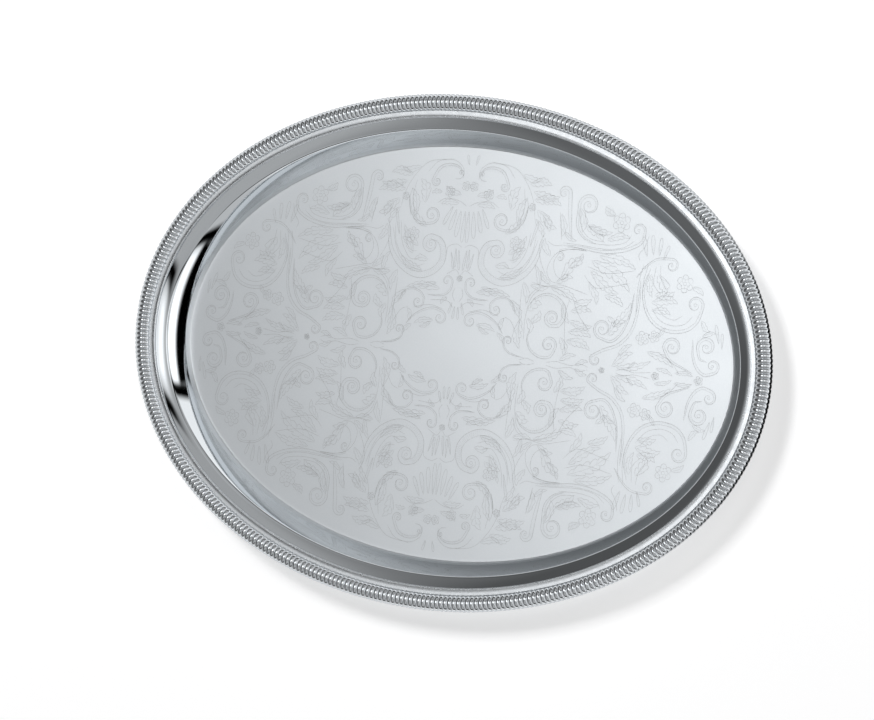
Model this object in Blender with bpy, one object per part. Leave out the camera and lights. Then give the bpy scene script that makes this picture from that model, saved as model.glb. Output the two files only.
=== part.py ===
# Oval serving tray with a fluted border, lying flat on its base.
# Origin: centre of the flat underside.  +X along the length, +Y along the width, +Z up.  Metres.
#
# Every piece is one cross-section carried round the oval.  A section point is (w, z):
# w is how far the point lies inside the tray's outermost edge, z its height above the top of the floor.
import math

import bmesh
import bpy

# driving dimensions
TRAY_LENGTH = 0.5588
TRAY_WIDTH = 0.4064
PAN_SHEET = 0.0008
BORDER_SHEET = 0.0007
GAP = 0.0003
STATIONS = 96

# well of the pan, from the floor outwards
FLOOR_MARGIN = 0.0396
FLOOR_CAP_EDGE = 0.0421
FOOT_RADIUS = 0.0015
WALL_SLOPE = math.radians(60)
STRAIGHT_WALL = 0.0049
BOWED_WALL_RADIUS = 0.134
SHOULDER_SLOPE = math.radians(54)
SHOULDER_RADIUS = 0.003
CREASE_SLOPE = math.radians(12)
COVE_SLOPE = math.radians(27)
COVE_WIDTH = 0.0079

# fluted border, with a plain strip and a bead along its inner edge
BORDER_WIDTH = 0.0132
BORDER_WAIST_HEIGHT = 0.0216
CROWN_RISE = 0.0047
STRIP_HEIGHT = 0.0224
BEAD_CENTRE = (0.0176, 0.02155)
BEAD_RADIUS = 0.0010
CURL_RADIUS = 0.0023
CURL_LENGTH = 0.0016

# flange of the pan, held between the border's crown and its curl
FLANGE_HEIGHT = 0.0211
FLANGE_EDGE = 0.0018
FLANGE_BEND = 0.0160

# stiffening wire that lies on the flange inside the hollow border
WIRE_RADIUS = 0.0012
WIRE_PLACE = 0.0038
WIRE_SIDES = 8


def clear_scene():
    for obj in list(bpy.data.objects):
        bpy.data.objects.remove(obj, do_unlink=True)


def make_material(name, colour, roughness):
    material = bpy.data.materials.new(name)
    material.use_nodes = True
    shader = material.node_tree.nodes["Principled BSDF"]
    shader.inputs["Base Color"].default_value = (*colour, 1.0)
    shader.inputs["Metallic"].default_value = 1.0
    shader.inputs["Roughness"].default_value = roughness
    return material


def arc_from(start, radius, slope_from, slope_to, side, steps):
    """Points after start on an arc that climbs outwards, from one slope to another.

    side is 1 where the sheet turns steeper on its way out and -1 where it turns flatter.
    """
    points = []
    for step in range(1, steps + 1):
        slope = slope_from + (slope_to - slope_from) * step / steps
        along = side * radius * (math.sin(slope) - math.sin(slope_from))
        up = side * radius * (math.cos(slope_from) - math.cos(slope))
        points.append((start[0] - along, start[1] + up))
    return points


def pan_top_section():
    """Upper face of the pan, from the edge of the flat floor out to the edge of the flange."""
    section = [(FLOOR_CAP_EDGE, 0.0), (FLOOR_MARGIN, 0.0)]
    section += arc_from(section[-1], FOOT_RADIUS, 0.0, WALL_SLOPE, 1, 4)
    foot_w, foot_z = section[-1]
    section.append((foot_w - STRAIGHT_WALL * math.cos(WALL_SLOPE),
                    foot_z + STRAIGHT_WALL * math.sin(WALL_SLOPE)))
    section += arc_from(section[-1], BOWED_WALL_RADIUS, WALL_SLOPE, SHOULDER_SLOPE, -1, 3)
    section += arc_from(section[-1], SHOULDER_RADIUS, SHOULDER_SLOPE, CREASE_SLOPE, -1, 3)
    cove_radius = COVE_WIDTH / (math.sin(COVE_SLOPE) - math.sin(CREASE_SLOPE))
    section += arc_from(section[-1], cove_radius, CREASE_SLOPE, COVE_SLOPE, 1, 3)
    section.append((FLANGE_BEND, FLANGE_HEIGHT))
    section.append((FLANGE_EDGE, FLANGE_HEIGHT))
    return section


def border_top_section():
    """Outer face of the border, from the bead at its inner edge over the crown and under the curl."""
    half = BORDER_WIDTH / 2
    section = []
    for step in range(4):
        turn = math.radians(-20 + 55 * step)
        section.append((BEAD_CENTRE[0] + BEAD_RADIUS * math.cos(turn),
                        BEAD_CENTRE[1] + BEAD_RADIUS * math.sin(turn)))
    crown_start = math.asin((STRIP_HEIGHT - BORDER_WAIST_HEIGHT) / CROWN_RISE)
    steps = 8
    for step in range(steps + 1):
        turn = crown_start + (math.pi - crown_start) * step / steps
        section.append((half + half * math.cos(turn), BORDER_WAIST_HEIGHT + CROWN_RISE * math.sin(turn)))
    for step in range(1, 4):
        turn = math.pi / 2 * step / 3
        section.append((CURL_RADIUS * (1 - math.cos(turn)),
                        BORDER_WAIST_HEIGHT - CURL_RADIUS * math.sin(turn)))
    section.append((CURL_RADIUS + CURL_LENGTH, BORDER_WAIST_HEIGHT - CURL_RADIUS))
    return section


def wire_section():
    height = FLANGE_HEIGHT + GAP + WIRE_RADIUS
    section = []
    for side in range(WIRE_SIDES):
        turn = 2 * math.pi * side / WIRE_SIDES
        section.append((WIRE_PLACE + WIRE_RADIUS * math.cos(turn),
                        height + WIRE_RADIUS * math.sin(turn)))
    return section


def under_side(section, thickness):
    """The same line moved square to itself by the sheet's thickness, to the right of its run."""
    moved = []
    for index, (w, z) in enumerate(section):
        before = section[max(index - 1, 0)]
        after = section[min(index + 1, len(section) - 1)]
        normals = []
        for first, second in ((before, (w, z)), ((w, z), after)):
            step_w, step_z = second[0] - first[0], second[1] - first[1]
            length = math.hypot(step_w, step_z)
            if length > 0:
                normals.append((-step_z / length, step_w / length))
        normal_w = sum(n[0] for n in normals) / len(normals)
        normal_z = sum(n[1] for n in normals) / len(normals)
        scale = thickness / (normal_w ** 2 + normal_z ** 2)
        moved.append((w + normal_w * scale, z + normal_z * scale))
    return moved


def ring_point(station, w, z):
    """A section point at one station round the oval."""
    turn = 2 * math.pi * station / STATIONS
    half_length, half_width = TRAY_LENGTH / 2, TRAY_WIDTH / 2
    normal_x, normal_y = math.cos(turn) / half_length, math.sin(turn) / half_width
    length = math.hypot(normal_x, normal_y)
    x = half_length * math.cos(turn) - w * normal_x / length
    y = half_width * math.sin(turn) - w * normal_y / length
    return (x, y, z + PAN_SHEET)


def sweep_round_oval(name, section, material, closed):
    """One solid: the section carried round the oval, with flat caps across it if it isn't closed."""
    mesh = bpy.data.meshes.new(name)
    bm = bmesh.new()
    rings = []
    for w, z in section:
        rings.append([bm.verts.new(ring_point(station, w, z)) for station in range(STATIONS)])
    pairs = list(zip(rings, rings[1:]))
    if closed:
        pairs.append((rings[-1], rings[0]))
    else:
        bm.faces.new(rings[0])
        bm.faces.new(rings[-1])
    for inner, outer in pairs:
        for station in range(STATIONS):
            following = (station + 1) % STATIONS
            bm.faces.new((inner[station], inner[following], outer[following], outer[station]))
    bmesh.ops.recalc_face_normals(bm, faces=bm.faces)
    if bm.calc_volume(signed=True) < 0:
        bmesh.ops.reverse_faces(bm, faces=bm.faces)
    bm.to_mesh(mesh)
    bm.free()
    mesh.materials.append(material)
    mesh.shade_smooth()
    mesh.set_sharp_from_angle(angle=math.radians(35))
    obj = bpy.data.objects.new(name, mesh)
    bpy.context.scene.collection.objects.link(obj)
    return obj


def build_tray():
    polished = make_material("polished_chrome", (0.78, 0.79, 0.80), 0.12)
    fluted = make_material("fluted_chrome", (0.80, 0.81, 0.82), 0.16)
    steel = make_material("plain_steel", (0.45, 0.46, 0.47), 0.40)

    top = pan_top_section()
    sweep_round_oval("tray_pan", top + under_side(top, PAN_SHEET)[::-1], polished, closed=False)

    outside = border_top_section()
    border = outside + under_side(outside, BORDER_SHEET)[::-1]
    sweep_round_oval("fluted_border", border, fluted, closed=True)

    sweep_round_oval("rim_wire", wire_section(), steel, closed=True)


clear_scene()
build_tray()
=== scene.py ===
# Oval serving tray: mirror-polished pan, fluted border, engraved satin floor.
# Metres, +Z up, origin at the centre of the tray's flat underside.
import math
import bpy
import bmesh
import numpy as np
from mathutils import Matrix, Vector


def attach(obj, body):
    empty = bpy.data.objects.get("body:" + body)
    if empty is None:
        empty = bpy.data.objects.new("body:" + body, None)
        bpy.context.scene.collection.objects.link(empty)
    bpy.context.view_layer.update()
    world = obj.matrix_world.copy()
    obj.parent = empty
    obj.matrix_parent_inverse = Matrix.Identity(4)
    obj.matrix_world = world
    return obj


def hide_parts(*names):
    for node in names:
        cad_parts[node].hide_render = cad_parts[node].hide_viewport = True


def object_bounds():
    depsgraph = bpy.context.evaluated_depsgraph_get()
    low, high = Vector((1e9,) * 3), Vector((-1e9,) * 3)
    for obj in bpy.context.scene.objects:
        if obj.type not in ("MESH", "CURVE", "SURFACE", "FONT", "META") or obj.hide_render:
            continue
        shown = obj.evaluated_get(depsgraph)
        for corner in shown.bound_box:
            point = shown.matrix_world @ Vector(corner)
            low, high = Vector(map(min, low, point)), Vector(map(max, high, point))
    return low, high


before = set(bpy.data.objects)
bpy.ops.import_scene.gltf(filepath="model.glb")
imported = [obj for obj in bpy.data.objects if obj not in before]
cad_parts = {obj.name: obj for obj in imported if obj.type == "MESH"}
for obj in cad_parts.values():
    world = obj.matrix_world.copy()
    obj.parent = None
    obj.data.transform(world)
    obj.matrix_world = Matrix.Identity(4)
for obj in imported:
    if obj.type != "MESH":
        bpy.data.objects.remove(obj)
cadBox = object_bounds()
scene = bpy.context.scene

low, high = cadBox
trayHalfLength = high.x
trayHalfWidth = high.y
floorTop = 0.0008       # upper face of the floor, one sheet above the table


# camera

cameraSetup = {
    "lens": 132.9,
    "place": (1.1267, -0.0158, 2.2986),
    "turn": (3.504, 26.133, 7.462),      # degrees
}


def makeCamera(setup):
    data = bpy.data.cameras.new("trayCamera")
    data.lens = setup["lens"]
    data.clip_start, data.clip_end = 0.05, 60
    camera = bpy.data.objects.new("trayCamera", data)
    camera.location = setup["place"]
    camera.rotation_euler = [math.radians(angle) for angle in setup["turn"]]
    scene.collection.objects.link(camera)
    scene.camera = camera


makeCamera(cameraSetup)
print("camera set")


# round-the-oval geometry shared by the pan and the border

def ovalPoint(turn, inset, height):
    nx = math.cos(turn) / trayHalfLength
    ny = math.sin(turn) / trayHalfWidth
    size = math.hypot(nx, ny)
    x = trayHalfLength * math.cos(turn) - inset * nx / size
    y = trayHalfWidth * math.sin(turn) - inset * ny / size
    return (x, y, floorTop + height)


def evenTurns(count):
    # angles round the outer edge that stand the same distance apart along it
    fine = np.linspace(0, 2 * math.pi, 14401)
    speed = np.hypot(trayHalfLength * np.sin(fine), trayHalfWidth * np.cos(fine))
    travelled = np.concatenate([[0], np.cumsum((speed[1:] + speed[:-1]) / 2)])
    return np.interp(np.arange(count) / count * travelled[-1], travelled, fine)


def climb(section, radius, slopeFrom, slopeTo, steps):
    # sheet bending on its way outwards; a positive radius makes it steeper, a negative one flatter
    inset, height = section[-1]
    first, last = math.radians(slopeFrom), math.radians(slopeTo)
    for step in range(1, steps + 1):
        slope = first + (last - first) * step / steps
        side = 1 if slopeTo > slopeFrom else -1
        section.append((inset - side * radius * (math.sin(slope) - math.sin(first)),
                        height + side * radius * (math.cos(first) - math.cos(slope))))


def offsetSection(section, thickness):
    moved = []
    for index, (inset, height) in enumerate(section):
        before = section[max(index - 1, 0)]
        after = section[min(index + 1, len(section) - 1)]
        dw, dz = after[0] - before[0], after[1] - before[1]
        size = math.hypot(dw, dz)
        moved.append((inset - dz / size * thickness, height + dw / size * thickness))
    return moved


def meshObject(name, bm, material, sharpAngle):
    bmesh.ops.recalc_face_normals(bm, faces=bm.faces)
    if bm.calc_volume(signed=True) < 0:
        bmesh.ops.reverse_faces(bm, faces=bm.faces)
    mesh = bpy.data.meshes.new(name)
    bm.to_mesh(mesh)
    bm.free()
    mesh.materials.append(material)
    mesh.shade_smooth()
    mesh.set_sharp_from_angle(angle=math.radians(sharpAngle))
    obj = bpy.data.objects.new(name, mesh)
    scene.collection.objects.link(obj)
    return obj


# materials

def newMaterial(name, colour, roughness, metallic=1.0):
    material = bpy.data.materials.new(name)
    material.use_nodes = True
    shader = material.node_tree.nodes["Principled BSDF"]
    shader.inputs["Base Color"].default_value = (*colour, 1)
    shader.inputs["Metallic"].default_value = metallic
    shader.inputs["Roughness"].default_value = roughness
    return material, material.node_tree, shader


def addNode(tree, kind, **values):
    node = tree.nodes.new(kind)
    for key, value in values.items():
        setattr(node, key, value)
    return node


def calculate(tree, operation, *terms):
    node = addNode(tree, "ShaderNodeMath", operation=operation)
    for socket, term in zip(node.inputs, terms):
        if isinstance(term, (int, float)):
            socket.default_value = term
        else:
            tree.links.new(term, socket)
    return node.outputs[0]


def product(tree, first, *others):
    for other in others:
        first = calculate(tree, "MULTIPLY", first, other)
    return first


def apart(tree, value, middle):
    # how far a value lies from its middle, on either side
    return calculate(tree, "ABSOLUTE", calculate(tree, "SUBTRACT", value, middle))


def mapRange(tree, source, fromLow, fromHigh, toLow, toHigh, smooth=True):
    node = addNode(tree, "ShaderNodeMapRange", interpolation_type="SMOOTHSTEP" if smooth else "LINEAR")
    tree.links.new(source, node.inputs["Value"])
    ends = {"From Min": fromLow, "From Max": fromHigh, "To Min": toLow, "To Max": toHigh}
    for key, value in ends.items():
        node.inputs[key].default_value = value
    return node.outputs["Result"]


def placeAxis(tree, axis):
    # how far a point lies along one of the object's own axes
    split = addNode(tree, "ShaderNodeSeparateXYZ")
    tree.links.new(addNode(tree, "ShaderNodeTexCoord").outputs["Object"], split.inputs[0])
    return split.outputs[axis]


noiseRange = (0.3, 0.7)      # nearly every value of the noise lies between these


def grain(tree, scale, detail=3.0, stretch=None):
    place = addNode(tree, "ShaderNodeTexCoord").outputs["Object"]
    if stretch:
        mapping = addNode(tree, "ShaderNodeMapping")
        mapping.inputs["Scale"].default_value = stretch
        tree.links.new(place, mapping.inputs["Vector"])
        place = mapping.outputs[0]
    noise = addNode(tree, "ShaderNodeTexNoise")
    noise.inputs["Scale"].default_value = scale
    noise.inputs["Detail"].default_value = detail
    tree.links.new(place, noise.inputs["Vector"])
    return noise.outputs["Fac"]


def uneven(tree, noise, lowest, highest):
    return mapRange(tree, noise, *noiseRange, lowest, highest)


def bump(tree, shader, height, strength, distance):
    node = addNode(tree, "ShaderNodeBump")
    node.inputs["Strength"].default_value = strength
    node.inputs["Distance"].default_value = distance
    tree.links.new(height, node.inputs["Height"])
    tree.links.new(node.outputs[0], shader.inputs["Normal"])


def tint(tree, shader, amount, dark, light):
    ramp = addNode(tree, "ShaderNodeValToRGB")
    for element, position, colour in zip(ramp.color_ramp.elements, noiseRange, (dark, light)):
        element.position = position
        element.color = (*colour, 1)
    tree.links.new(amount, ramp.inputs[0])
    tree.links.new(ramp.outputs[0], shader.inputs["Base Color"])


panFinish = {
    "colour": (0.785, 0.825, 0.855),
    "cloudColour": (0.81, 0.845, 0.875),
    "polishedRoughness": 0.03,
    "satinRoughness": 0.31,
    "satinEndsFrom": floorTop + 0.0031,    # the satin blasting runs a little way up the foot
    "satinEndsTo": floorTop + 0.0041,
    "speckleScale": 2600,
    "speckle": (0.93, 1.07),               # factors on the roughness, like the next pair
    "rubbedScale": 14,
    "rubbedStretch": (1, 1, 0.2),
    "rubbed": (0.98, 1.02),
    "cloudScale": 900,
    "waveScale": 9,                        # a pressed sheet is never quite flat
    "waveStrength": 0.04,
    "waveHeight": 0.002,
}


def panMaterial(finish):
    material, tree, shader = newMaterial("polishedAndSatinChrome", finish["colour"],
                                         finish["polishedRoughness"])
    satin = mapRange(tree, placeAxis(tree, "Z"), finish["satinEndsFrom"], finish["satinEndsTo"],
                     finish["satinRoughness"], finish["polishedRoughness"])
    speckle = uneven(tree, grain(tree, finish["speckleScale"], 2), *finish["speckle"])
    rubbed = uneven(tree, grain(tree, finish["rubbedScale"], 4, finish["rubbedStretch"]),
                    *finish["rubbed"])
    tree.links.new(product(tree, satin, speckle, rubbed), shader.inputs["Roughness"])
    tint(tree, shader, grain(tree, finish["cloudScale"], 5), finish["colour"], finish["cloudColour"])
    bump(tree, shader, grain(tree, finish["waveScale"], 2), finish["waveStrength"],
         finish["waveHeight"])
    return material


borderFinish = {
    "colour": (0.79, 0.825, 0.855),
    "cloudColour": (0.84, 0.87, 0.90),
    "fluteRoughness": 0.075,
    "stripRoughness": 0.28,                # the strip and the bead are duller than the flutes
    "stripEndsFrom": floorTop + 0.0226,
    "stripEndsTo": floorTop + 0.0234,
    "wornScale": 160,
    "worn": (0.93, 1.07),                  # factors on the roughness
    "cloudScale": 420,
    "waveScale": 60,
    "waveStrength": 0.03,
    "waveHeight": 0.0004,
}


def borderMaterial(finish):
    material, tree, shader = newMaterial("flutedChrome", finish["colour"], finish["fluteRoughness"])
    worn = uneven(tree, grain(tree, finish["wornScale"], 4), *finish["worn"])
    dull = mapRange(tree, placeAxis(tree, "Z"), finish["stripEndsFrom"], finish["stripEndsTo"],
                    finish["stripRoughness"], finish["fluteRoughness"])
    tree.links.new(product(tree, worn, dull), shader.inputs["Roughness"])
    tint(tree, shader, grain(tree, finish["cloudScale"], 3), finish["colour"], finish["cloudColour"])
    bump(tree, shader, grain(tree, finish["waveScale"], 2), finish["waveStrength"],
         finish["waveHeight"])
    return material


# pan

panShape = {
    "floorMargin": 0.0396,
    "footRadius": 0.0015,
    "wallSlope": 59,
    "straightWall": 0.0049,
    "bowRadius": 0.161,
    "shoulderSlope": 54,
    "shoulderRadius": 0.0030,
    "creaseSlope": 12,
    "coveSlope": 27,
    "coveWidth": 0.0079,
    "flangeBend": (0.0160, 0.0211),
    "flangeEdge": (0.0018, 0.0211),
    "sheet": 0.0008,
    "stations": 480,
    "steps": {"foot": 20, "bow": 8, "shoulder": 10, "cove": 10},
    "sharpAngle": 50,
}


def panSection(shape):
    steps = shape["steps"]
    section = [(shape["floorMargin"] + 0.002, 0), (shape["floorMargin"], 0)]
    climb(section, shape["footRadius"], 0, shape["wallSlope"], steps["foot"])
    inset, height = section[-1]
    slope = math.radians(shape["wallSlope"])
    for share in (0.5, 1):
        section.append((inset - share * shape["straightWall"] * math.cos(slope),
                        height + share * shape["straightWall"] * math.sin(slope)))
    climb(section, shape["bowRadius"], shape["wallSlope"], shape["shoulderSlope"], steps["bow"])
    climb(section, shape["shoulderRadius"], shape["shoulderSlope"], shape["creaseSlope"],
          steps["shoulder"])
    bend = math.sin(math.radians(shape["coveSlope"])) - math.sin(math.radians(shape["creaseSlope"]))
    climb(section, shape["coveWidth"] / bend, shape["creaseSlope"], shape["coveSlope"], steps["cove"])
    section.append(shape["flangeBend"])
    section.append(shape["flangeEdge"])
    return section


def sweepRings(bm, rings, closed=False):
    count = len(rings[0])
    followers = rings[1:] + rings[:1] if closed else rings[1:]
    for inner, outer in zip(rings, followers):
        for k in range(count):
            bm.faces.new((inner[k], inner[(k + 1) % count], outer[(k + 1) % count], outer[k]))


def makePan(shape, material):
    top = panSection(shape)
    bottom = offsetSection(top, shape["sheet"])[::-1]
    bm = bmesh.new()
    count = shape["stations"]
    rings = []
    turns = [2 * math.pi * k / count for k in range(count)]
    for inset, height in top + bottom:
        rings.append([bm.verts.new(ovalPoint(turn, inset, height)) for turn in turns])
    sweepRings(bm, rings)
    for ring in (rings[0], rings[-1]):
        centre = bm.verts.new((0, 0, ring[0].co.z))
        for k in range(count):
            bm.faces.new((ring[k], ring[(k + 1) % count], centre))
    pan = meshObject("pressedPan", bm, material, shape["sharpAngle"])
    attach(pan, "root")
    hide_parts("tray_pan")


makePan(panShape, panMaterial(panFinish))
print("pan pressed")


# engraving on the floor, drawn in one quarter and mirrored into the other three

engraving = {
    "lineWidth": 0.00034,
    "lineHeight": 0.00003,
    "lineSink": 0.00002,
    "step": 0.9,             # between points along a line, in millimetres like the drawings below
    # darker than the floor metal: painted shade for the engraved grooves, which are drawn as raised ridges
    # and not cut
    "colour": (0.58, 0.60, 0.61),
    "roughness": 0.52,
    "uneven": 0.07,          # how much the roughness varies along the lines
    "cutScale": 1400,
    "cloudScale": 700,
    "cloudTones": (0.85, 1.15),
}

# Widths of the lines, as shares of the full line width.
strokes = {
    "scroll": 1.25, "scrollInside": 0.8, "rib": 0.5, "eye": 0.9,
    "leafEdge": 1.0, "spine": 0.7, "vein": 0.45,
    "petal": 1.0, "petalMiddle": 0.6,
    "flower": 1.1, "flowerInside": 0.8, "heart": 1.0, "ray": 0.6,
    "sweep": 1.0, "hatching": 0.55,
}
ribbedFrom = 1.6             # gap from which a scroll is ribbed
veinedFrom = 2.3             # half width from which a leaf has veins

# Each scroll: eye x and y, radius, angle where the curl starts, way round (1 or -1), turns, gap of its
# second line, and the points of the stem that leads into the curl.
scrolls = [
    # round the blank name plate
    (13.5, 27.0, 6.3, 90, 1, 1.1, 1.5, [(43, 19.5), (38, 26.5), (29, 32.5), (20, 34.8)]),
    (48.3, 14.6, 4.5, 215, -1, 1.1, 1.1, [(63, 2.8), (56, 3.4), (50, 5), (45.3, 9)]),
    (83.5, 15.0, 7.3, -20, 1, 1.2, 1.8, [(66, 26), (64.3, 17), (68.5, 8.5), (77, 4), (86, 5)]),
    (84.0, 36.0, 7.4, 270, -1, 1.3, 2.6, [(63.5, 45), (68, 51), (77, 55), (87, 53), (94, 46), (95, 37),
                                          (91, 30)]),
    (34.5, 37.8, 5.6, 160, 1, 1.1, 1.2, [(52, 36), (49, 44), (42, 48.3), (34, 47), (29, 42)]),
    (10.5, 56.5, 5.4, 205, -1, 0.95, 1.3, [(27, 44.5), (20, 44), (12, 45), (6.5, 49.5)]),
    # the large hatched scroll
    (29.0, 84.5, 8.2, 90, -1, 1.2, 5.2, [(68, 97), (66, 80), (58, 67), (46, 59), (34, 57), (22, 62),
                                         (15, 71), (15, 82), (20, 90)]),
    (31.0, 108.0, 7.6, 265, -1, 1.25, 1.7, [(53, 122), (50, 109), (43, 101), (35, 99.8)]),
    (30.0, 135.0, 4.6, 10, -1, 1.0, 2.0, [(7, 141), (11, 148), (20, 150), (29, 146.5)]),
    (9.3, 143.2, 2.6, 200, -1, 1.0, 0, [(14, 138), (9.5, 138.6)]),
    # along the lower edge
    (82.5, 134.5, 6.3, 10, 1, 0.9, 3.0, [(93, 98), (91.5, 110), (90, 122)]),
    (104.5, 126.5, 9.6, 195, -1, 1.35, 2.2, [(113, 97), (102, 101), (95.5, 110)]),
    (148.5, 110.5, 6.4, -10, 1, 0.9, 2.4, [(86, 93.5), (100, 92.6), (118, 90.3), (135, 92), (147, 96.5),
                                           (153.5, 102)]),
    (179.5, 85.8, 5.8, 95, -1, 1.1, 1.5, [(151, 74), (158, 84), (167, 90.5)]),
    # the right-hand end
    (202.3, 57.5, 7.4, -15, 1, 1.15, 2.4, [(162, 82), (157.5, 66), (161, 50), (170, 39), (183, 34.3),
                                           (197, 36.2), (206, 44)]),
    (222.0, 12.2, 6.4, -70, 1, 1.0, 2.0, [(203.5, 31), (204.5, 18), (209, 8.5), (216, 4)]),
    (215.5, 26.5, 8.4, 190, -1, 1.2, 2.2, [(217, 15), (210.5, 16.5)]),
    (187.5, 23.5, 8.2, 185, -1, 1.3, 1.8, [(206, 5.3), (197, 8.2), (186, 13)]),
    (124.5, 7.5, 5.4, 150, 1, 0.95, 2.2, [(155, 72), (154.5, 50), (151, 33), (142, 22), (130, 16.5)]),
    (127.5, 32.0, 8.2, 262, -1, 1.4, 1.7, [(151, 62), (149.5, 43), (144, 29), (136, 22)]),
    (84.5, 84.0, 4.5, 100, -1, 0.8, 1.4, [(107, 91), (95, 91.3)]),
]

# Each leaf: base, tip, half width (its sign says which way the leaf bends), number of lobes.
leaves = [
    ((19, 24.5), (36, 20.5), 1.9, 4), ((38, 20), (45, 11.5), 1.6, 3), ((21, 23), (31, 18.5), -1.4, 3),
    ((40, 22), (43, 32), 1.6, 2), ((57, 33), (59, 9), -3.2, 5), ((63, 34), (66, 22), 2.2, 3),
    ((62, 40), (74, 46), 3.2, 3), ((66, 30), (73, 41), -2.4, 3), ((46, 47), (57, 31), 2.6, 4),
    ((16, 50), (46, 49), 2.6, 5), ((20, 54.5), (37, 52), -1.6, 3), ((9, 44), (14, 38), 1.4, 2),
    ((56, 62), (60, 45), 2.2, 3), ((62, 60), (78, 60), -2.0, 4), ((80, 60), (104, 50), 2.6, 5),
    ((92, 49), (99, 33), -2.2, 3), ((93, 22), (97, 8), 2.4, 3), ((98, 20), (119, 14), 3.0, 5),
    ((99, 27), (119, 24), 2.8, 5), ((99, 35), (119, 33), -2.6, 5), ((99, 43), (117, 44), 2.4, 4),
    ((101, 50), (116, 54), -2.2, 4), ((94, 4), (108, 9), 1.8, 3), ((108, 1.5), (119, 5), 1.6, 3),
    ((133, 27), (146, 40), 3.0, 4), ((136, 34), (149, 54), -3.2, 5), ((131, 42), (137, 34), 1.8, 2),
    ((139, 3.5), (156, 16), 2.6, 4), ((143, 3), (171, 11), -2.4, 5), ((143, 12), (154, 22), 1.8, 3),
    ((167, 18), (190, 8), 2.4, 5), ((176, 6), (190, 1.6), 1.4, 3), ((192, 4), (207, 3), 1.4, 3),
    ((166, 56), (188, 57), 3.4, 5), ((168, 62), (184, 66), -3.0, 4), ((167, 50), (183, 48), 2.4, 4),
    ((169, 78), (175, 62), 3.6, 3), ((163, 78), (166, 60), -2.2, 4), ((198, 71), (208, 65), 1.8, 3),
    ((209, 46), (217, 38), -1.8, 3), ((211, 34), (222, 37), 1.6, 3), ((180, 38), (172, 30), 1.4, 2),
    ((112, 84), (147, 62), 4.2, 6), ((112, 76), (138, 60), -3.0, 5), ((118, 88), (150, 80), 3.0, 5),
    ((112, 66), (120, 50), 2.4, 3), ((126, 58), (143, 50), 2.4, 4),
    ((88, 66), (104, 86), 3.4, 4), ((94, 76), (104, 89), -2.4, 3), ((84, 64), (98, 69), 2.2, 3),
    ((79, 62), (70, 72), 1.8, 3), ((70, 60), (64, 76), -1.8, 3), ((76, 84), (70, 98), 2.2, 3),
    ((38, 117), (44, 136), 3.6, 4), ((35, 98), (47, 111), -2.6, 4), ((45, 106), (51, 128), 2.6, 4),
    ((57, 127), (81, 124), 3.4, 6), ((56, 133), (79, 131), -3.0, 5), ((52, 139), (71, 139), 3.0, 5),
    ((45, 145.5), (62, 143.5), -2.2, 4), ((61, 119), (73, 103), 3.2, 4), ((66, 116), (79, 106), -2.6, 3),
    ((60, 112), (68, 98), 2.0, 3), ((82, 118), (84, 100), 2.4, 3), ((86, 104), (97, 98), -1.6, 3),
    ((97, 124), (101, 105), 2.8, 3), ((104, 110), (120, 99), 3.0, 4), ((106, 111), (127, 107), -2.6, 4),
    ((128, 120), (119, 127), 2.4, 4), ((123, 101), (142, 104), 2.4, 4), ((34, 62), (54, 74), -2.8, 5),
    ((44, 76), (55, 88), 2.8, 4), ((40, 82), (54, 98), -2.6, 4), ((30, 72), (42, 71), 2.2, 3),
    ((8, 119), (24, 117), 2.0, 4), ((7, 126), (21, 132), -2.0, 3), ((24, 127), (33, 125), 1.6, 3),
]

# Each petal: base, tip, half width.
petals = [
    ((1.6, 113), (2.2, 88), 2.0), ((5.5, 113), (8, 92), 2.4), ((9.5, 114), (14, 97), 2.2),
    ((13, 116), (20, 101), 1.9), ((3.5, 82), (1.6, 66), 1.2), ((6, 83), (5.4, 68), 1.1),
    ((10, 80), (6.6, 66), 1.1), ((1.4, 37), (2.4, 27), 1.2), ((4, 40), (6.5, 31), 1.1),
    ((158, 91), (153.5, 106), 2.2), ((163, 93), (161, 108), 2.0), ((168, 92.5), (168.5, 106), 1.9),
    ((172, 90), (175.5, 101), 1.5), ((58, 90), (63, 110), 1.3), ((152, 3), (158, 9), 1.2),
    ((3, 150), (5, 158), 1.2), ((225, 30), (221, 44), 1.6), ((228, 26), (227, 38), 1.3),
]

# Each flower: centre, radius, petals.
flowers = [
    (133.5, 115.3, 7.6, 6), (191.8, 73, 7.0, 6), (162.0, 28, 5.6, 5), (171.5, 30.2, 4.6, 5),
    (3.4, 133, 3.8, 5), (17.0, 127.5, 4.4, 6), (0.0, 59.5, 2.6, 6), (56.0, 121.0, 3.2, 5),
    (212.0, 0.0, 3.6, 5), (176.0, 0.0, 3.2, 5), (45.5, 91.5, 5.4, 6), (131.0, 0.0, 2.4, 5),
]

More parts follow.
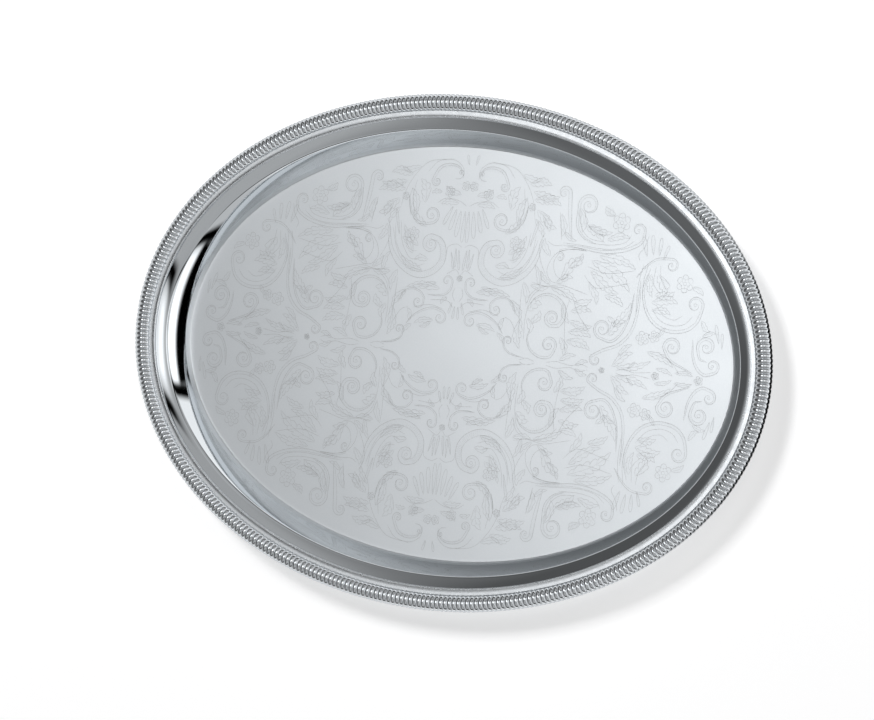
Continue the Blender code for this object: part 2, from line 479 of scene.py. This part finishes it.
# Plain lines, each a row of points.
sweeps = [
    [(57.5, 17), (55.8, 34), (55, 56)], [(61.5, 17), (61, 35), (64, 50), (71, 58)],
    [(43, 33), (49, 30), (55, 20)], [(60, 43), (65, 55), (77, 60.5), (90, 57.5), (99, 49)],
    [(63, 62.5), (75, 60.5), (88, 62.5), (100, 60), (112, 57)], [(12, 34), (24, 36.5), (38, 33)],
    [(3, 36), (9, 41), (24, 40.5)], [(32, 68.5), (42, 66), (53, 73), (60, 84), (62.5, 99)],
    [(36, 73), (45, 71.5), (52, 79), (56, 89), (57.5, 101)],
    [(34, 63), (48, 66), (58, 77), (64.5, 96)], [(40, 78), (46, 78.5), (51, 85), (53, 95)],
    [(17, 153.8), (38, 150.2), (50, 138), (57, 124), (59.5, 111)],
    [(7, 139), (8, 147.5), (17, 153), (30, 151), (38.5, 142)],
    [(51, 128), (52.5, 118), (49.5, 106)], [(47.5, 135), (49.5, 120), (46, 108)],
    [(84.5, 97), (82.5, 109), (80.5, 119)], [(98, 122), (100, 109), (108, 101), (121, 99)],
    [(101, 123), (104, 113), (112, 106), (124, 104)],
    [(86, 95.5), (100, 95), (122, 93.6), (137, 96), (146, 102)],
    [(107, 97.5), (124, 97), (138, 100), (143.5, 107)],
    [(152.5, 87), (151, 92), (155.5, 99), (157.5, 107)], [(166.5, 84), (166, 71), (172.5, 63)],
    [(170, 85), (172, 74), (178, 66)], [(166, 53), (174, 43.5), (185, 40), (195, 42), (201.5, 49)],
    [(170, 54.5), (177, 47), (186, 44.5), (193, 48.5)], [(156, 85), (153.3, 68), (154, 48)],
    [(160, 86), (157.5, 72), (158, 60)], [(97, 52), (95, 40), (96, 25), (98, 11)],
    [(100, 52.5), (106, 41), (117, 28.5)],
    [(106.5, 90.8), (94, 91), (83, 88), (76.5, 80), (75, 71), (80, 64.5), (88, 63.5)],
    [(84.5, 89), (80, 80), (82.5, 70.5), (89.5, 67), (94, 74)],
    [(107, 72), (113, 66), (121, 63), (146, 69)], [(109, 79), (126, 75), (149, 79)],
    [(196, 3), (188, 12), (178, 17)], [(60, 0.8), (66, 2.6), (73, 0.8)],
    [(83, 1), (92, 2.6), (104, 0.8), (112, 3), (119, 1)],
    [(143, 1), (150, 2.6), (158, 0.9), (172, 2.5)], [(0.8, 62.5), (4.5, 66), (12, 62)],
    [(0.8, 84), (6, 86.5), (13, 84), (14, 78)], [(0.8, 117), (9, 121), (20, 122), (27, 118)],
    [(70, 102), (66, 92), (68.5, 80), (73.5, 70)], [(72.5, 96), (78, 93), (86, 93.6)],
    [(2, 41), (4.5, 46), (3, 52)],
]

# Hatching: two edges, each from point to point, and how many strokes cross between them.
hatchings = [
    ([(14.8, 71), (14.2, 78), (16.2, 86), (21, 91.5)],
     [(20.8, 72), (20.2, 78), (21.6, 83), (24.5, 87.5)], 16),
    ([(17.5, 67), (24, 61.6), (32, 58.6)], [(22.5, 70), (27, 66), (33, 63.5)], 9),
    ([(71, 52.6), (78, 54.6), (87, 52.6)], [(73, 49.5), (79, 51), (86, 49)], 9),
    ([(206.5, 27), (207.5, 32), (211.5, 34.6)], [(209.2, 26.6), (210.2, 30.4), (213, 32.3)], 7),
    ([(119, 127), (122, 129), (127, 124)], [(118, 124.5), (121, 121.5), (126.5, 121)], 7),
    ([(12, 148.6), (20, 149.8), (28, 146.8)], [(13.5, 145.6), (20, 146.8), (26.5, 144.4)], 10),
]


def towards(turn):
    return Vector((math.cos(turn), math.sin(turn)))


def smoothLine(points, step):
    # a curve through all the points, cut at even steps
    points = [Vector(point) for point in points]
    guide = [points[0] * 2 - points[1]] + points + [points[-1] * 2 - points[-2]]
    curve = []
    for a, b, c, d in zip(guide, guide[1:], guide[2:], guide[3:]):
        pieces = max(2, round((c - b).length / step))
        for piece in range(pieces):
            t = piece / pieces
            curve.append(0.5 * (2 * b + (c - a) * t + (2 * a - 5 * b + 4 * c - d) * t * t
                                + (3 * b - a - 3 * c + d) * t ** 3))
    return curve + [points[-1]]


def besideLine(line, gap, tapered=True):
    moved = []
    for index, point in enumerate(line):
        along = (line[min(index + 1, len(line) - 1)] - line[max(index - 1, 0)]).normalized()
        share = index / (len(line) - 1)
        size = gap * (math.sin(math.pi * share) ** 0.6 if tapered else 1)
        moved.append(point + Vector((-along.y, along.x)) * size)
    return moved


def drawScroll(lines, scroll, step):
    eyeX, eyeY, radius, start, way, turns, gap, stem = scroll
    eye = Vector((eyeX, eyeY))
    curl = []
    pieces = max(12, round(turns * radius * 5 / step))
    for piece in range(pieces + 1):
        share = piece / pieces
        angle = math.radians(start) + way * turns * 2 * math.pi * share
        # the curl closes in to about a fifth of its radius, where the eye is
        reach = radius * (1 - share) ** 0.8 * 0.78 + radius * 0.22
        curl.append(eye + reach * towards(angle))
    lead = smoothLine([*stem, tuple(curl[0]), tuple(curl[2])], step)[:-2]
    line = lead + curl[1:]
    lines.append((line, strokes["scroll"]))
    if gap:
        inner = besideLine(line[:-max(4, pieces // 3)], gap * way)
        lines.append((inner, strokes["scrollInside"]))
        if gap > ribbedFrom:
            for k in range(5, len(inner) - 5, 2):
                lines.append(([line[k], inner[k + 2]], strokes["rib"]))
    ring = [eye + radius * 0.16 * towards(math.radians(start + 40 * k)) for k in range(9)]
    lines.append((ring + [ring[0]], strokes["eye"]))


def drawLeaf(lines, leaf, step):
    base, tip, width, lobes = leaf
    base, tip = Vector(base), Vector(tip)
    along = tip - base
    square = Vector((-along.y, along.x)).normalized()
    pieces = max(12, round(along.length / step))
    edges = {1: [], -1: []}
    spine = []
    for piece in range(pieces + 1):
        t = piece / pieces
        # the spine bends to one side, most of all in the outer half
        middle = base + along * t + square * width * 1.1 * math.sin(math.pi * t) * (0.5 + 0.5 * t)
        spine.append(middle)
        swell = abs(math.sin(math.pi * lobes * t)) ** 0.6
        reach = 1.25 * abs(width) * math.sin(math.pi * t ** 0.75)
        lean = along.normalized() * reach * 0.55 * swell      # every lobe leans towards the tip
        for side in edges:
            edges[side].append(middle + square * side * reach * (0.5 + 0.5 * swell) + lean)
    for edge in edges.values():
        lines.append((edge, strokes["leafEdge"]))
    lines.append((spine[1:int(pieces * 0.85)], strokes["spine"]))
    if abs(width) <= veinedFrom:
        return
    for k in range(1, lobes):
        at = int(pieces * k / lobes)
        for edge in edges.values():
            vein = [spine[max(at - 2, 0)], (spine[at] + edge[at]) / 2, edge[min(at + 1, pieces)]]
            lines.append((vein, strokes["vein"]))


def drawPetal(lines, petal):
    base, tip, width = petal
    base, tip = Vector(base), Vector(tip)
    square = Vector((-(tip - base).y, (tip - base).x)).normalized()
    outline = []
    for piece in range(23):
        turn = 2 * math.pi * piece / 22
        t = (1 - math.cos(turn)) / 2
        outline.append(base + (tip - base) * t + square * width * math.sin(turn) * (0.35 + 0.65 * t))
    lines.append((outline, strokes["petal"]))
    lines.append(([base + (tip - base) * 0.1, base + (tip - base) * 0.7], strokes["petalMiddle"]))


def drawFlower(lines, flower):
    x, y, radius, count = flower
    centre = Vector((x, y))
    outline, inner = [], []
    for piece in range(count * 8 + 1):
        turn = 2 * math.pi * piece / (count * 8)
        reach = radius * (0.62 + 0.38 * abs(math.sin(count * turn / 2)) ** 0.6)
        outline.append(centre + reach * towards(turn))
        inner.append(centre + reach * 0.6 * towards(turn + 0.5))
    lines.append((outline, strokes["flower"]))
    lines.append((inner, strokes["flowerInside"]))
    heart = [centre + radius * 0.2 * towards(turn) for turn in np.linspace(0, 2 * math.pi, 9)]
    lines.append((heart, strokes["heart"]))
    for k in range(count):
        ray = towards(2 * math.pi * (k + 0.5) / count)
        lines.append(([centre + ray * radius * 0.28, centre + ray * radius * 0.8], strokes["ray"]))


def drawHatching(lines, hatching):
    first, second, count = hatching
    first, second = smoothLine(first, 0.3), smoothLine(second, 0.3)
    for k in range(count):
        share = (k + 0.5) / count
        ends = [edge[int(share * (len(edge) - 1))] for edge in (first, second)]
        lines.append((ends, strokes["hatching"]))


def drawQuarter(step):
    lines = []
    for scroll in scrolls:
        drawScroll(lines, scroll, step)
    for leaf in leaves:
        drawLeaf(lines, leaf, step)
    for petal in petals:
        drawPetal(lines, petal)
    for flower in flowers:
        drawFlower(lines, flower)
    for points in sweeps:
        lines.append((smoothLine(points, step), strokes["sweep"]))
    for hatching in hatchings:
        drawHatching(lines, hatching)
    return lines


def ridgeLine(line, width, shape):
    # a thin ridge with a three-sided section and pointed ends; millimetres in, metres out
    points = np.array([tuple(point) for point in line]) / 1000
    along = np.gradient(points, axis=0)
    along /= np.maximum(np.linalg.norm(along, axis=1, keepdims=True), 1e-9)
    square = np.stack([-along[:, 1], along[:, 0]], axis=1)
    share = np.linspace(0, 1, len(points))
    taper = np.clip(np.minimum(share, 1 - share) * 9 + 0.35, 0, 1)
    half = shape["lineWidth"] / 2 * width * taper[:, None]
    left, right = points + square * half, points - square * half
    low = np.full((len(points), 1), floorTop - shape["lineSink"])
    high = np.full((len(points), 1), floorTop + shape["lineHeight"])
    verts = np.stack([np.hstack([left, low]), np.hstack([right, low]), np.hstack([points, high])], axis=1)
    faces = [(0, 1, 2), tuple(3 * (len(points) - 1) + k for k in (2, 1, 0))]
    for k in range(len(points) - 1):
        for a, b in ((0, 1), (1, 2), (2, 0)):
            faces.append((3 * k + b, 3 * k + a, 3 * k + 3 + a, 3 * k + 3 + b))
    return verts.reshape(-1, 3), faces


def engravingMaterial(shape):
    material, tree, shader = newMaterial("engravedLinePaintedShade", shape["colour"], shape["roughness"])
    smoothest, roughest = shape["roughness"] - shape["uneven"], shape["roughness"] + shape["uneven"]
    cut = uneven(tree, grain(tree, shape["cutScale"], 3), smoothest, roughest)
    tree.links.new(cut, shader.inputs["Roughness"])
    # the lines' darker colour is painted shade standing in for the cut of the grooves; the cloud tones
    # vary it at random
    dark, light = [tuple(value * tone for value in shape["colour"]) for tone in shape["cloudTones"]]
    tint(tree, shader, grain(tree, shape["cloudScale"], 3), dark, light)
    return material


def makeEngraving(shape, material):
    verts, faces = [], []
    total = 0
    for line, width in drawQuarter(shape["step"]):
        points, sides = ridgeLine(line, width, shape)
        for mirrorX, mirrorY in ((1, 1), (-1, 1), (-1, -1), (1, -1)):
            verts.append(points * (mirrorX, mirrorY, 1))
            turned = mirrorX * mirrorY < 0
            faces += [tuple(total + k for k in (side[::-1] if turned else side)) for side in sides]
            total += len(points)
    mesh = bpy.data.meshes.new("engravedScrolls")
    mesh.from_pydata(np.concatenate(verts), [], faces)
    mesh.materials.append(material)
    lines = bpy.data.objects.new("engravedScrolls", mesh)
    scene.collection.objects.link(lines)
    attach(lines, "root")
    print("engraving has", len(faces), "faces")


makeEngraving(engraving, engravingMaterial(engraving))
print("floor engraved")


# fluted border

borderShape = {
    "flutes": 392,
    "across": (-1, -0.8, -0.5, -0.17, 0.17, 0.5, 0.8),    # stations over one flute, -1 is the hollow
    "width": 0.0132,
    "waistHeight": 0.0216,
    "crownRise": 0.0047,
    "stripHeight": 0.0224,
    "stripInner": 0.0169,
    "stripSag": 0.00005,
    "beadCentre": (0.0176, 0.02155),
    "beadRadius": 0.0010,
    "beadArc": (-20, 115),                                # degrees
    "curlRadius": 0.0023,
    "curlLength": 0.0016,
    "sheet": 0.0006,
    "fluteDepth": 0.00095,
    "roundness": 0.97,       # below 1 the hollow between two flutes isn't cut to a knife edge
    "crestProud": 0.28,      # share of the flute depth that stands above the plain moulding
    "innerEnd": 0.07,        # share of the crown over which the flutes end, on either side
    "outerEnd": 0.15,
    "edgeDepth": 0.75,       # depth that is left of them at the outer edge
    "steps": {"bead": 9, "crown": 36, "curl": 6},
    "insideEvery": 3,        # the hidden side of the sheet follows every third point
    "sharpAngle": 60,
}


def borderOutline(shape):
    # inset, height, depth of the fluting there as a share of the full depth
    half = shape["width"] / 2
    waist, edgeDepth = shape["waistHeight"], shape["edgeDepth"]
    beadInset, beadHeight = shape["beadCentre"]
    beadStart, beadEnd = shape["beadArc"]
    beadSteps, steps, curlSteps = shape["steps"].values()
    outline = []
    for step in range(beadSteps + 1):
        turn = math.radians(beadStart + (beadEnd - beadStart) * step / beadSteps)
        outline.append((beadInset + shape["beadRadius"] * math.cos(turn),
                        beadHeight + shape["beadRadius"] * math.sin(turn), 0))
    start = math.asin((shape["stripHeight"] - waist) / shape["crownRise"])
    crownFoot = half + half * math.cos(start)
    for share in (0.06, 0.5, 0.9):
        outline.append((shape["stripInner"] + (crownFoot - shape["stripInner"]) * share,
                        shape["stripHeight"] - shape["stripSag"] * (1 - share), 0))
    for step in range(steps + 1):
        turn = start + (math.pi - start) * step / steps
        share = step / steps
        grow = min(1, share / shape["innerEnd"])
        fade = min(1, (1 - share) / shape["outerEnd"])
        depth = math.sqrt(1 - (1 - grow) ** 2)
        depth *= edgeDepth + (1 - edgeDepth) * math.sin(math.pi / 2 * fade)
        outline.append((half + half * math.cos(turn), waist + shape["crownRise"] * math.sin(turn), depth))
    for step in range(1, curlSteps + 1):
        share = step / curlSteps
        turn = math.pi / 2 * share
        outline.append((shape["curlRadius"] * (1 - math.cos(turn)),
                        waist - shape["curlRadius"] * math.sin(turn), edgeDepth * (1 - share ** 2)))
    outline.append((shape["curlRadius"] + shape["curlLength"], waist - shape["curlRadius"], 0))
    return outline


def makeBorder(shape, material):
    outline = borderOutline(shape)
    plain = [(inset, height) for inset, height, depth in outline]
    lifted = offsetSection(plain, -1)          # one metre along each point's outward normal
    flutes = [math.sqrt(1 - (shape["roundness"] * a) ** 2) for a in shape["across"]]
    hollows = list(evenTurns(shape["flutes"])) + [2 * math.pi]
    turns = [start + (a + 1) / 2 * (end - start)
             for start, end in zip(hollows, hollows[1:]) for a in shape["across"]]
    bm = bmesh.new()
    rings, inside = [], []
    for index, ((inset, height, depth), (farInset, farHeight)) in enumerate(zip(outline, lifted)):
        outW, outZ = farInset - inset, farHeight - height
        ring = []
        for k, turn in enumerate(turns):
            rise = shape["fluteDepth"] * depth * (flutes[k % len(flutes)] - 1 + shape["crestProud"])
            ring.append(bm.verts.new(ovalPoint(turn, inset + outW * rise, height + outZ * rise)))
        rings.append(ring)
        if index % shape["insideEvery"] == 0 or index == len(outline) - 1:
            sink = -shape["sheet"] - shape["fluteDepth"] * depth * 0.5
            inside.append((inset + outW * sink, height + outZ * sink))
    for inset, height in inside[::-1]:
        rings.append([bm.verts.new(ovalPoint(turn, inset, height)) for turn in turns])
    sweepRings(bm, rings, closed=True)
    border = meshObject("flutedMoulding", bm, material, shape["sharpAngle"])
    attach(border, "root")
    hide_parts("fluted_border")


makeBorder(borderShape, borderMaterial(borderFinish))
print("border fluted")


# wire, seen only from below

wireFinish = {
    "colour": (0.40, 0.41, 0.42),
    "cloudColour": (0.50, 0.51, 0.52),
    "smoothest": 0.3,
    "roughest": 0.5,
    "drawnScale": 500,
    "cloudScale": 260,
}


def wireMaterial(finish):
    material, tree, shader = newMaterial("drawnWire", finish["colour"], finish["roughest"])
    drawn = uneven(tree, grain(tree, finish["drawnScale"], 3), finish["smoothest"], finish["roughest"])
    tree.links.new(drawn, shader.inputs["Roughness"])
    tint(tree, shader, grain(tree, finish["cloudScale"], 4), finish["colour"], finish["cloudColour"])
    return material


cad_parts["rim_wire"].material_slots[0].material = wireMaterial(wireFinish)


# table and studio

studio = {
    # x, y, height and the like are parts of a direction: height is 0 at the horizon, 1 straight up
    "air": 0.09,
    "ceiling": {"brightness": 0.30, "x": (-0.58, -0.22)},    # grey right of the tray's left end
    "nearSide": {"brightness": 0.04, "y": (0, -0.3)},
    "horizon": {"brightness": 0.60, "height": (0.48, 0.14)},
    "dimHorizon": {"share": 0.8, "x": (0, 0.35), "y": (0, -0.35)},
    "darkGap": {"side": (0.70, 0.80), "bottom": (0.34, 0.40), "top": (0.58, 0.66)},
    "glowOverLeft": {"x": -0.32, "y": 0.08, "width": 0.22, "depth": 0.27, "brightness": 2.8,
                     "fadesBelow": 0.3},
    "window": {
        "brightness": 0.36,
        "hotSpots": ((7, 18, 0.60), (78, 7, 0.52)),    # tilt, reach in degrees and extra brightness
        "tilt": (-10, 6),                  # degrees towards +X from straight up, where it fades in
        "nearEdge": (-0.11, -0.67),        # limit overhead, and how much it widens by the horizon
        "farEdge": (0.33, 0.31),
        "widestTilt": 1.48,                # radians, where the widening is complete
        "softness": 0.18,
        "frame": (0.02, 0.08),             # dark rails along the two sides
    },
    "darkOverRight": {"x": 0.44, "y": 0.0, "width": 0.14, "depth": 0.14, "share": 0.85, "core": 0.3},
    "blackCard": {"tilt": (80.2, 83), "middle": -0.07, "side": (0.62, 0.78)},
    "lamps": {
        # name: azimuth from +X, angle from straight up, distance, width, watts
        "backLeftLamp": (121, 40, 6.0, 1.7, 190),
        "backRightLamp": (50, 48, 6.0, 2.4, 60),
    },
    "table": {"colour": (0.80, 0.80, 0.805), "glow": 0.62},
    "lowCard": {"glow": 0.72, "darkFrom": (0.18, 0.30), "middle": -0.06, "side": (0.14, 0.30)},
}


def directionTo(azimuth, fromZenith):
    a, z = math.radians(azimuth), math.radians(fromZenith)
    return Vector((math.sin(z) * math.cos(a), math.sin(z) * math.sin(a), math.cos(z)))


def makeTable(setup):
    bpy.ops.mesh.primitive_plane_add(size=16, location=(0, 0, 0))
    table = bpy.context.object
    table.name = "paleTable"
    material, tree, shader = newMaterial("paleTable", setup["colour"], 0.9, 0)
    shader.inputs["Specular IOR Level"].default_value = 0
    shader.inputs["Emission Color"].default_value = (1, 1, 1, 1)
    shader.inputs["Emission Strength"].default_value = setup["glow"]
    table.data.materials.append(material)


def makeLowCard(setup):
    # a grey sheet laid round the tray, with a black end at the right; only reflections show it
    bpy.ops.mesh.primitive_plane_add(size=6, location=(0, 0, 0.0003))
    card = bpy.context.object
    card.name = "lowCard"
    material = bpy.data.materials.new("lowCard")
    material.use_nodes = True
    tree = material.node_tree
    tree.nodes.clear()
    out = addNode(tree, "ShaderNodeOutputMaterial")
    glow = addNode(tree, "ShaderNodeEmission")
    right = mapRange(tree, placeAxis(tree, "X"), *setup["darkFrom"], 0, 1)
    aside = apart(tree, placeAxis(tree, "Y"), setup["middle"])
    shade = product(tree, right, mapRange(tree, aside, *setup["side"], 1, 0))
    strength = mapRange(tree, shade, 0, 1, setup["glow"], 0, False)
    tree.links.new(strength, glow.inputs["Strength"])
    tree.links.new(glow.outputs[0], out.inputs["Surface"])
    card.data.materials.append(material)
    card.visible_camera = card.visible_diffuse = card.visible_shadow = False


def patchSpread(tree, x, y, patch):
    # 0 in the middle of a round patch of the ceiling and 1 at its edge
    along = product(tree, calculate(tree, "SUBTRACT", x, patch["x"]), 1 / patch["width"])
    across = product(tree, calculate(tree, "SUBTRACT", y, patch["y"]), 1 / patch["depth"])
    square = calculate(tree, "ADD", product(tree, along, along), product(tree, across, across))
    return calculate(tree, "SQRT", square)


def windowLight(tree, y, tilt, window):
    # a bright opening from overhead to the horizon, and how dark the frame along its two sides is
    opening = mapRange(tree, tilt, *[math.radians(angle) for angle in window["tilt"]], 0, 1)
    lit, rails = opening, []
    for side, (overhead, widening) in ((1, window["nearEdge"]), (-1, window["farEdge"])):
        edge = calculate(tree, "MULTIPLY_ADD", tilt, widening / window["widestTilt"], overhead)
        inside = product(tree, calculate(tree, "SUBTRACT", y, edge), side)
        lit = product(tree, lit, mapRange(tree, inside, 0, window["softness"], 0, 1))
        rails.append(mapRange(tree, calculate(tree, "ABSOLUTE", inside), *window["frame"], 1, 0))
    framed = product(tree, calculate(tree, "MAXIMUM", *rails), opening)
    strength = window["brightness"]
    for middle, reach, extra in window["hotSpots"]:
        away = apart(tree, tilt, math.radians(middle))
        hotSpot = mapRange(tree, away, 0, math.radians(reach), extra, 0)
        strength = calculate(tree, "ADD", hotSpot, strength)
    return product(tree, lit, strength), framed


def roomAir(tree, x, y, z, framed, setup):
    # grey ceiling, glowing horizon, and the dark gap between them on the two long sides
    ceiling, near = setup["ceiling"], setup["nearSide"]
    horizon, dim, gap = setup["horizon"], setup["dimHorizon"], setup["darkGap"]
    air = calculate(tree, "ADD", mapRange(tree, x, *ceiling["x"], 0, ceiling["brightness"]), setup["air"])
    air = calculate(tree, "ADD", air, mapRange(tree, y, *near["y"], 0, near["brightness"]))
    # the horizon hardly glows in the near right quarter
    dimmed = product(tree, mapRange(tree, x, *dim["x"], 0, dim["share"]),
                     mapRange(tree, y, *dim["y"], 0, 1))
    glow = product(tree, mapRange(tree, z, *horizon["height"], 0, horizon["brightness"]),
                   calculate(tree, "SUBTRACT", 1, dimmed))
    air = calculate(tree, "ADD", air, glow)
    dark = product(tree, mapRange(tree, calculate(tree, "ABSOLUTE", y), *gap["side"], 0, 1),
                   mapRange(tree, z, *gap["bottom"], 0, 1), mapRange(tree, z, *gap["top"], 1, 0))
    clear = calculate(tree, "SUBTRACT", 1, calculate(tree, "MAXIMUM", framed, dark))
    return product(tree, air, clear)


def makeStudioAir(setup):
    world = bpy.data.worlds.new("studioAir")
    scene.world = world
    world.use_nodes = True
    world.cycles_visibility.diffuse = False
    tree = world.node_tree
    split = addNode(tree, "ShaderNodeSeparateXYZ")
    tree.links.new(addNode(tree, "ShaderNodeTexCoord").outputs["Generated"], split.inputs[0])
    x, y, z = split.outputs
    tilt = calculate(tree, "ARCTAN2", x, z)
    light, framed = windowLight(tree, y, tilt, setup["window"])
    light = calculate(tree, "ADD", light, roomAir(tree, x, y, z, framed, setup))
    glow, hole, card = setup["glowOverLeft"], setup["darkOverRight"], setup["blackCard"]
    ceilingGlow = product(tree, mapRange(tree, patchSpread(tree, x, y, glow), 0, 1, glow["brightness"], 0),
                          mapRange(tree, z, 0, glow["fadesBelow"], 0, 1))
    light = calculate(tree, "ADD", light, ceilingGlow)
    black = product(tree, mapRange(tree, apart(tree, y, card["middle"]), *card["side"], 1, 0),
                    mapRange(tree, tilt, *[math.radians(angle) for angle in card["tilt"]], 0, 1))
    light = product(tree, light, calculate(tree, "SUBTRACT", 1, black))
    shaded = mapRange(tree, patchSpread(tree, x, y, hole), hole["core"], 1, 1 - hole["share"], 1)
    light = product(tree, light, shaded)
    background = tree.nodes["Background"]
    background.inputs["Color"].default_value = (1, 1, 1, 1)
    tree.links.new(light, background.inputs["Strength"])


def makeLamps(lamps):
    for name, (azimuth, zenith, distance, width, watts) in lamps.items():
        data = bpy.data.lights.new(name, "AREA")
        data.size = width
        data.energy = watts
        lamp = bpy.data.objects.new(name, data)
        out = directionTo(azimuth, zenith)
        lamp.location = out * distance
        lamp.rotation_mode = "QUATERNION"
        lamp.rotation_quaternion = out.to_track_quat("Z", "Y")
        lamp.visible_glossy = False
        lamp.visible_camera = False
        scene.collection.objects.link(lamp)


makeTable(studio["table"])
makeLowCard(studio["lowCard"])
makeStudioAir(studio)
makeLamps(studio["lamps"])
scene.view_settings.view_transform = "Standard"
print("studio lit")
